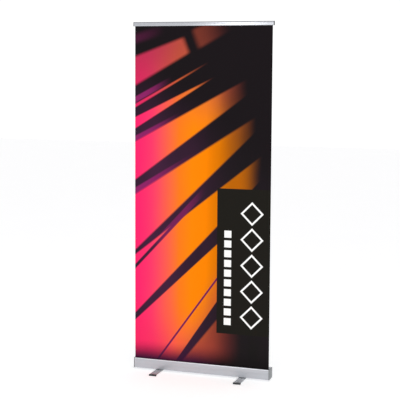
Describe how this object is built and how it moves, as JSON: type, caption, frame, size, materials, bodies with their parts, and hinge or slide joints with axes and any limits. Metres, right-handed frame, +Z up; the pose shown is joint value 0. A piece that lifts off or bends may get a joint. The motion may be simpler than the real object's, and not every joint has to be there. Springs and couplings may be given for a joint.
{
  "type": "roll-up banner stand",
  "caption": "Retractable banner stand: a floor cassette with a sprung roller, a tall printed banner held up by a clamp rail on a sectional pole, and swivel feet.",
  "frame": {"origin": "centre of the bounding box's underside, on the floor between the two feet", "axes": "+Z up, the banner faces -Y, +X along the cassette to the right seen from the front"},
  "size_m": [0.8686, 0.306, 2.1165],
  "materials": {
    "anodised_aluminium": "satin anodised",
    "foot_aluminium": "satin",
    "silver_plastic": "satin silver-grey",
    "dark_plastic": "matte dark grey",
    "black_plastic": "matte black",
    "rubber": "matte",
    "zinc_steel": "zinc plated",
    "spring_steel": "oiled spring steel",
    "printed_film": "printed polyester film",
    "leader_film": "plain white film",
    "elastic_cord": "woven cord"
  },
  "bodies": {
    "base": {"cassette": "anodised_aluminium", "end_cap_left": "silver_plastic", "end_cap_left_screw_front": "zinc_steel", "end_cap_left_screw_top": "zinc_steel", "end_cap_left_screw_rear": "zinc_steel", "end_cap_right": "silver_plastic", "end_cap_right_screw_front": "zinc_steel", "end_cap_right_screw_top": "zinc_steel", "end_cap_right_screw_rear": "zinc_steel", "spring_spindle": "zinc_steel", "torsion_spring": "spring_steel", "banner": "printed_film", "pole_socket": "black_plastic", "foot_bolt_left": "zinc_steel", "foot_washer_left": "zinc_steel", "foot_nut_left": "zinc_steel", "foot_bolt_right": "zinc_steel", "foot_washer_right": "zinc_steel", "foot_nut_right": "zinc_steel"},
    "rail": {"clamp_rail": "anodised_aluminium", "clamp_strip": "anodised_aluminium", "rail_cap_left": "dark_plastic", "rail_cap_right": "dark_plastic"},
    "roller": {"roller_tube": "anodised_aluminium", "roller_plug_left": "dark_plastic", "roller_plug_right": "dark_plastic", "leader_wraps": "leader_film"},
    "pole_lower": {"pole_tube_lower": "anodised_aluminium", "pole_plug_bottom": "black_plastic", "pole_ferrule_lower": "anodised_aluminium", "elastic_cord": "elastic_cord"},
    "pole_middle": {"pole_tube_middle": "anodised_aluminium", "pole_ferrule_upper": "anodised_aluminium"},
    "pole_upper": {"pole_tube_upper": "anodised_aluminium", "pole_hook": "black_plastic"},
    "foot_left": {"foot_left_bar": "foot_aluminium", "foot_left_tip_front": "black_plastic", "foot_left_pin_front": "zinc_steel", "foot_left_pad_front": "rubber", "foot_left_tip_rear": "black_plastic", "foot_left_pin_rear": "zinc_steel", "foot_left_pad_rear": "rubber"},
    "foot_right": {"foot_right_bar": "foot_aluminium", "foot_right_tip_front": "black_plastic", "foot_right_pin_front": "zinc_steel", "foot_right_pad_front": "rubber", "foot_right_tip_rear": "black_plastic", "foot_right_pin_rear": "zinc_steel", "foot_right_pad_rear": "rubber"}
  },
  "joints": [
    {"name": "rail_slide", "type": "slide", "parent": "base", "child": "rail", "axis": [0, 0, 1], "range_m": [-2.018, 0], "deforming": ["banner"]},
    {"name": "roller_spin", "type": "hinge", "parent": "base", "child": "roller", "pos_m": [0, -0.00925, 0.04075], "axis": [1, 0, 0], "continuous": true},
    {"name": "pole_lift", "type": "slide", "parent": "base", "child": "pole_lower", "axis": [0, 0, 1], "range_m": [0, 0.065]},
    {"name": "pole_middle_pull", "type": "slide", "parent": "pole_lower", "child": "pole_middle", "axis": [0, 0, 1], "range_m": [0, 0.06], "stiffness_N_per_m": 40, "springref_m": -0.1},
    {"name": "pole_upper_pull", "type": "slide", "parent": "pole_middle", "child": "pole_upper", "axis": [0, 0, 1], "range_m": [0, 0.06], "stiffness_N_per_m": 40, "springref_m": -0.1},
    {"name": "foot_left_turn", "type": "hinge", "parent": "base", "child": "foot_left", "pos_m": [-0.264, 0, 0.0056], "axis": [0, 0, 1], "range_deg": [-90, 90]},
    {"name": "foot_right_turn", "type": "hinge", "parent": "base", "child": "foot_right", "pos_m": [0.264, 0, 0.0056], "axis": [0, 0, 1], "range_deg": [-90, 90]}
  ],
  "couplings": [
    {"joint": "roller_spin", "follows": "rail_slide", "rad_per_m": -55.6}
  ]
}
